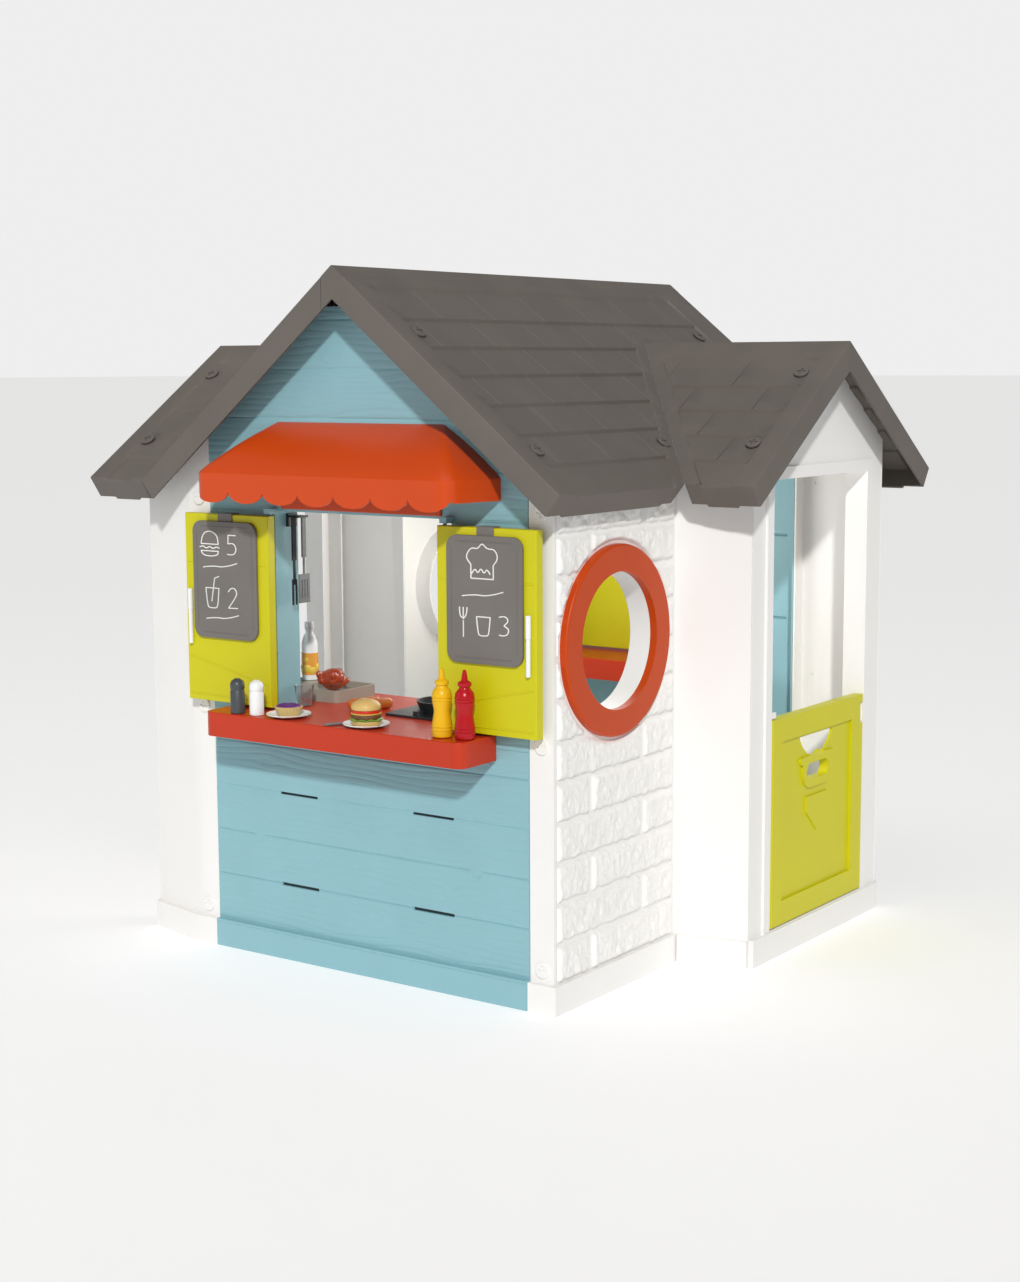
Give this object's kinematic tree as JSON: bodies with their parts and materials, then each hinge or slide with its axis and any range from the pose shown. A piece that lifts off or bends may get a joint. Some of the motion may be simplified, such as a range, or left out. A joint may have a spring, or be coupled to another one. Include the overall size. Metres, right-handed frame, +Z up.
{
  "type": "plastic playhouse",
  "caption": "Outdoor play restaurant house of moulded panels with a gabled roof, bays, serving window with shutters, awning, counter and a half door.",
  "frame": {"origin": "middle of the footprint box, on the floor under the walls", "axes": "+Z up, -Y the serving window and awning side, +X the side with the half door"},
  "size_m": [1.302, 1.294, 1.357],
  "materials": {
    "blue_plastic": "satin, wood-grain relief",
    "white_plastic": "satin, stone relief on the brick panels",
    "roof_plastic": "matt, fine leather grain",
    "lime_plastic": "satin gloss",
    "red_plastic": "gloss",
    "orange_plastic": "satin gloss",
    "slate_plastic": "matt writing surface",
    "black_plastic": "satin",
    "beige_plastic": "satin",
    "grey_plastic": "satin",
    "clear_plastic": "clear",
    "marker_plastic": "gloss",
    "bottle_plastic": "gloss",
    "roast_plastic": "gloss",
    "sausage_plastic": "gloss",
    "card_print": "printed card"
  },
  "bodies": {
    "house": {"back_counter": "red_plastic", "back_wall": "blue_plastic", "door_hinge_pins": "grey_plastic", "door_latch_clip": "white_plastic", "drinking_cup": "clear_plastic", "front_awning": "red_plastic", "front_counter": "red_plastic", "front_wall": "blue_plastic", "frying_pan": "black_plastic", "hob_plate": "black_plastic", "juice_bottle": "bottle_plastic", "juice_bottle_cap": "bottle_plastic", "left_bay_back_panel": "white_plastic", "left_bay_door_panel": "white_plastic", "left_bay_front_panel": "white_plastic", "left_bay_roof_back": "roof_plastic", "left_bay_roof_front": "roof_plastic", "left_brick_panel": "white_plastic", "left_main_roof": "roof_plastic", "left_window_ring": "orange_plastic", "recipe_cards": "card_print", "ridge_cap": "roof_plastic", "right_bay_back_panel": "white_plastic", "right_bay_door_panel": "white_plastic", "right_bay_front_panel": "white_plastic", "right_bay_roof_back": "roof_plastic", "right_bay_roof_front": "roof_plastic", "right_brick_panel": "white_plastic", "right_main_roof": "roof_plastic", "right_window_ring": "orange_plastic", "roast_chicken": "roast_plastic", "roof_screws": "roof_plastic", "sausages": "sausage_plastic", "serving_fork": "black_plastic", "shutter_hinge_pins": "grey_plastic", "sink_basin": "beige_plastic", "spatula": "black_plastic", "utensil_rail": "black_plastic", "wall_screws": "white_plastic"},
    "front_right_shutter": {"front_right_shutter": "lime_plastic", "chalkboard_right": "slate_plastic", "marker_right": "marker_plastic"},
    "front_left_shutter": {"front_left_shutter": "lime_plastic", "chalkboard_left": "slate_plastic", "marker_left": "marker_plastic"},
    "back_right_shutter": {"back_right_shutter": "lime_plastic"},
    "back_left_shutter": {"back_left_shutter": "lime_plastic"},
    "half_door": {"half_door": "lime_plastic"}
  },
  "joints": [
    {"name": "front_right_shutter_hinge", "type": "hinge", "parent": "house", "child": "front_right_shutter", "pos_m": [0.214, -0.535, 0.6985], "axis": [0, 0, -1], "range_deg": [0, 180]},
    {"name": "front_left_shutter_hinge", "type": "hinge", "parent": "house", "child": "front_left_shutter", "pos_m": [-0.214, -0.535, 0.6985], "axis": [0, 0, 1], "range_deg": [0, 180]},
    {"name": "back_right_shutter_hinge", "type": "hinge", "parent": "house", "child": "back_right_shutter", "pos_m": [0.214, 0.555, 0.6985], "axis": [0, 0, 1], "range_deg": [0, 180]},
    {"name": "back_left_shutter_hinge", "type": "hinge", "parent": "house", "child": "back_left_shutter", "pos_m": [-0.214, 0.555, 0.6985], "axis": [0, 0, 1], "range_deg": [0, 180]},
    {"name": "half_door_hinge", "type": "hinge", "parent": "house", "child": "half_door", "pos_m": [0.583, 0.0285, 0.27], "axis": [0, 0, -1], "range_deg": [0, 95]}
  ]
}
